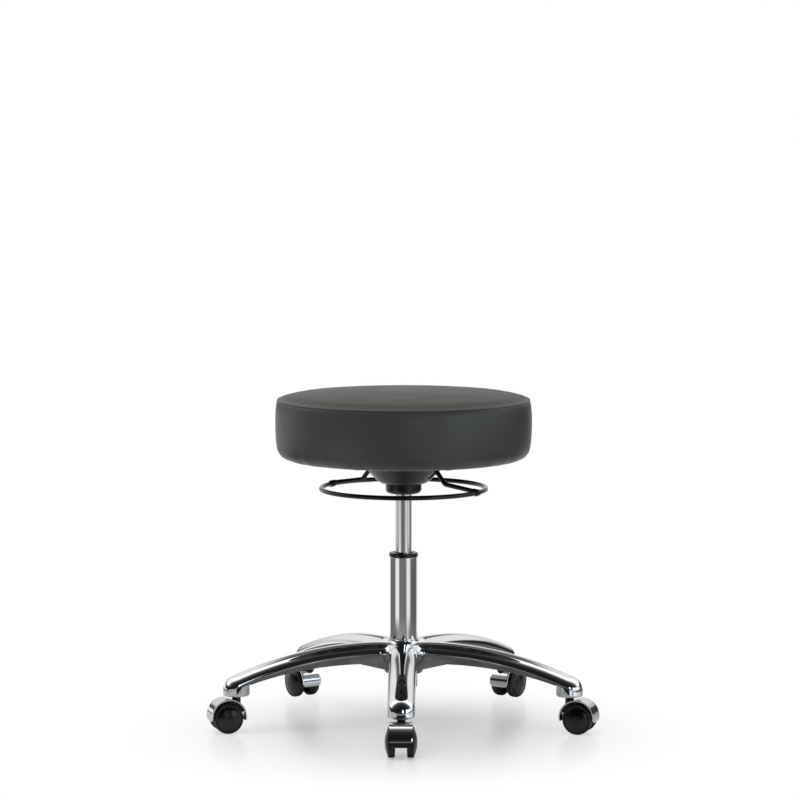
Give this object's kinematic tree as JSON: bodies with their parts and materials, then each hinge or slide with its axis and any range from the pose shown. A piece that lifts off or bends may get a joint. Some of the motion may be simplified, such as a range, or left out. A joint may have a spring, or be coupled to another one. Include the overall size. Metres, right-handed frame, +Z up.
{
  "type": "lab stool",
  "caption": "Round padded stool on a height-adjustable swivel gas lift, with a release ring below the seat and a star base on hooded casters.",
  "frame": {"origin": "on the floor, under the axis of the gas lift", "axes": "+Z up along the gas lift; one arm of the base points along -Y, towards the picture's camera"},
  "size_m": [0.6718, 0.6389, 0.5755],
  "materials": {
    "base_chrome": "polished and plated die casting, rough underside",
    "tube_chrome": "bright plated steel tube",
    "hood_chrome": "bright plated pressed sheet",
    "bright_steel": "turned and zinc plated",
    "black_plastic": "moulded, semi gloss",
    "black_rubber": "moulded rubber",
    "black_paint": "black satin powder coat on pressed steel",
    "black_gloss_wire": "black gloss coat on steel wire",
    "plywood": "raw plywood",
    "foam": "polyurethane foam block",
    "vinyl": "dark grey upholstery vinyl with a fine grain",
    "dust_cloth": "black non-woven cloth",
    "caster_nylon": "moulded nylon, satin",
    "wheel_nylon": "moulded nylon, satin"
  },
  "bodies": {
    "root": {"base_casting": "base_chrome", "column_tube": "tube_chrome", "guide_bush": "black_plastic", "lower_washer": "bright_steel", "ball_cage": "bright_steel", "thrust_balls": "bright_steel", "caster_stems": "bright_steel", "grip_rings": "bright_steel"},
    "piston": {"piston_rod": "bright_steel", "piston_head": "bright_steel", "upper_washer": "bright_steel", "lift_bumper": "black_rubber", "retaining_clip": "bright_steel"},
    "seat": {"pressure_tube": "tube_chrome", "rod_guide": "black_plastic", "valve_block": "bright_steel", "taper_socket": "black_paint", "support_pan": "black_paint", "lift_collar": "black_plastic", "seat_plate": "black_paint", "fulcrum_tabs": "black_paint", "seat_board": "plywood", "seat_foam": "foam", "seat_cover": "vinyl", "dust_cover": "dust_cloth", "seat_bolts": "bright_steel", "bolt_washers": "bright_steel", "tee_nuts": "bright_steel"},
    "release": {"release_ring": "black_gloss_wire", "release_lever": "black_gloss_wire", "ring_clips": "black_plastic"},
    "valve": {"valve_button": "bright_steel"},
    "caster_1": {"caster_frame_1": "caster_nylon", "caster_hood_1": "hood_chrome", "caster_axle_1": "bright_steel"},
    "left_wheel_1": {"wheel_left_1": "wheel_nylon"},
    "right_wheel_1": {"wheel_right_1": "wheel_nylon"},
    "caster_2": {"caster_frame_2": "caster_nylon", "caster_hood_2": "hood_chrome", "caster_axle_2": "bright_steel"},
    "left_wheel_2": {"wheel_left_2": "wheel_nylon"},
    "right_wheel_2": {"wheel_right_2": "wheel_nylon"},
    "caster_3": {"caster_frame_3": "caster_nylon", "caster_hood_3": "hood_chrome", "caster_axle_3": "bright_steel"},
    "left_wheel_3": {"wheel_left_3": "wheel_nylon"},
    "right_wheel_3": {"wheel_right_3": "wheel_nylon"},
    "caster_4": {"caster_frame_4": "caster_nylon", "caster_hood_4": "hood_chrome", "caster_axle_4": "bright_steel"},
    "left_wheel_4": {"wheel_left_4": "wheel_nylon"},
    "right_wheel_4": {"wheel_right_4": "wheel_nylon"},
    "caster_5": {"caster_frame_5": "caster_nylon", "caster_hood_5": "hood_chrome", "caster_axle_5": "bright_steel"},
    "left_wheel_5": {"wheel_left_5": "wheel_nylon"},
    "right_wheel_5": {"wheel_right_5": "wheel_nylon"}
  },
  "joints": [
    {"name": "seat_swivel", "type": "hinge", "parent": "root", "child": "piston", "pos_m": [0, 0, 0.0695], "axis": [0, 0, 1], "continuous": true},
    {"name": "seat_lift", "type": "slide", "parent": "piston", "child": "seat", "axis": [0, 0, 1], "range_m": [-0.095, 0.025]},
    {"name": "ring_lift", "type": "hinge", "parent": "seat", "child": "release", "pos_m": [0.02649, -0.01408, 0.4512], "axis": [-0.4695, -0.8829, 0], "range_deg": [0, 5], "stiffness_Nm_per_rad": 20, "springref_deg": -2.86},
    {"name": "valve_press", "type": "slide", "parent": "seat", "child": "valve", "axis": [0, 0, -1], "range_m": [0, 0.0027]},
    {"name": "caster_1_swivel", "type": "hinge", "parent": "root", "child": "caster_1", "pos_m": [0, -0.299, 0.056], "axis": [0, 0, 1], "continuous": true},
    {"name": "wheel_left_1_spin", "type": "hinge", "parent": "caster_1", "child": "left_wheel_1", "pos_m": [0, -0.3175, 0.0255], "axis": [1, 0, 0], "continuous": true},
    {"name": "wheel_right_1_spin", "type": "hinge", "parent": "caster_1", "child": "right_wheel_1", "pos_m": [0, -0.3175, 0.0255], "axis": [1, 0, 0], "continuous": true},
    {"name": "caster_2_swivel", "type": "hinge", "parent": "root", "child": "caster_2", "pos_m": [0.28437, -0.0924, 0.056], "axis": [0, 0, 1], "continuous": true},
    {"name": "wheel_left_2_spin", "type": "hinge", "parent": "caster_2", "child": "left_wheel_2", "pos_m": [0.30196, -0.09811, 0.0255], "axis": [0.309, 0.9511, 0], "continuous": true},
    {"name": "wheel_right_2_spin", "type": "hinge", "parent": "caster_2", "child": "right_wheel_2", "pos_m": [0.30196, -0.09811, 0.0255], "axis": [0.309, 0.9511, 0], "continuous": true},
    {"name": "caster_3_swivel", "type": "hinge", "parent": "root", "child": "caster_3", "pos_m": [0.17575, 0.2419, 0.056], "axis": [0, 0, 1], "continuous": true},
    {"name": "wheel_left_3_spin", "type": "hinge", "parent": "caster_3", "child": "left_wheel_3", "pos_m": [0.18662, 0.25686, 0.0255], "axis": [-0.809, 0.5878, 0], "continuous": true},
    {"name": "wheel_right_3_spin", "type": "hinge", "parent": "caster_3", "child": "right_wheel_3", "pos_m": [0.18662, 0.25686, 0.0255], "axis": [-0.809, 0.5878, 0], "continuous": true},
    {"name": "caster_4_swivel", "type": "hinge", "parent": "root", "child": "caster_4", "pos_m": [-0.17575, 0.2419, 0.056], "axis": [0, 0, 1], "continuous": true},
    {"name": "wheel_left_4_spin", "type": "hinge", "parent": "caster_4", "child": "left_wheel_4", "pos_m": [-0.18662, 0.25686, 0.0255], "axis": [-0.809, -0.5878, 0], "continuous": true},
    {"name": "wheel_right_4_spin", "type": "hinge", "parent": "caster_4", "child": "right_wheel_4", "pos_m": [-0.18662, 0.25686, 0.0255], "axis": [-0.809, -0.5878, 0], "continuous": true},
    {"name": "caster_5_swivel", "type": "hinge", "parent": "root", "child": "caster_5", "pos_m": [-0.28437, -0.0924, 0.056], "axis": [0, 0, 1], "continuous": true},
    {"name": "wheel_left_5_spin", "type": "hinge", "parent": "caster_5", "child": "left_wheel_5", "pos_m": [-0.30196, -0.09811, 0.0255], "axis": [0.309, -0.9511, 0], "continuous": true},
    {"name": "wheel_right_5_spin", "type": "hinge", "parent": "caster_5", "child": "right_wheel_5", "pos_m": [-0.30196, -0.09811, 0.0255], "axis": [0.309, -0.9511, 0], "continuous": true}
  ],
  "couplings": [
    {"joint": "valve_press", "follows": "ring_lift", "m_per_rad": 0.03}
  ]
}
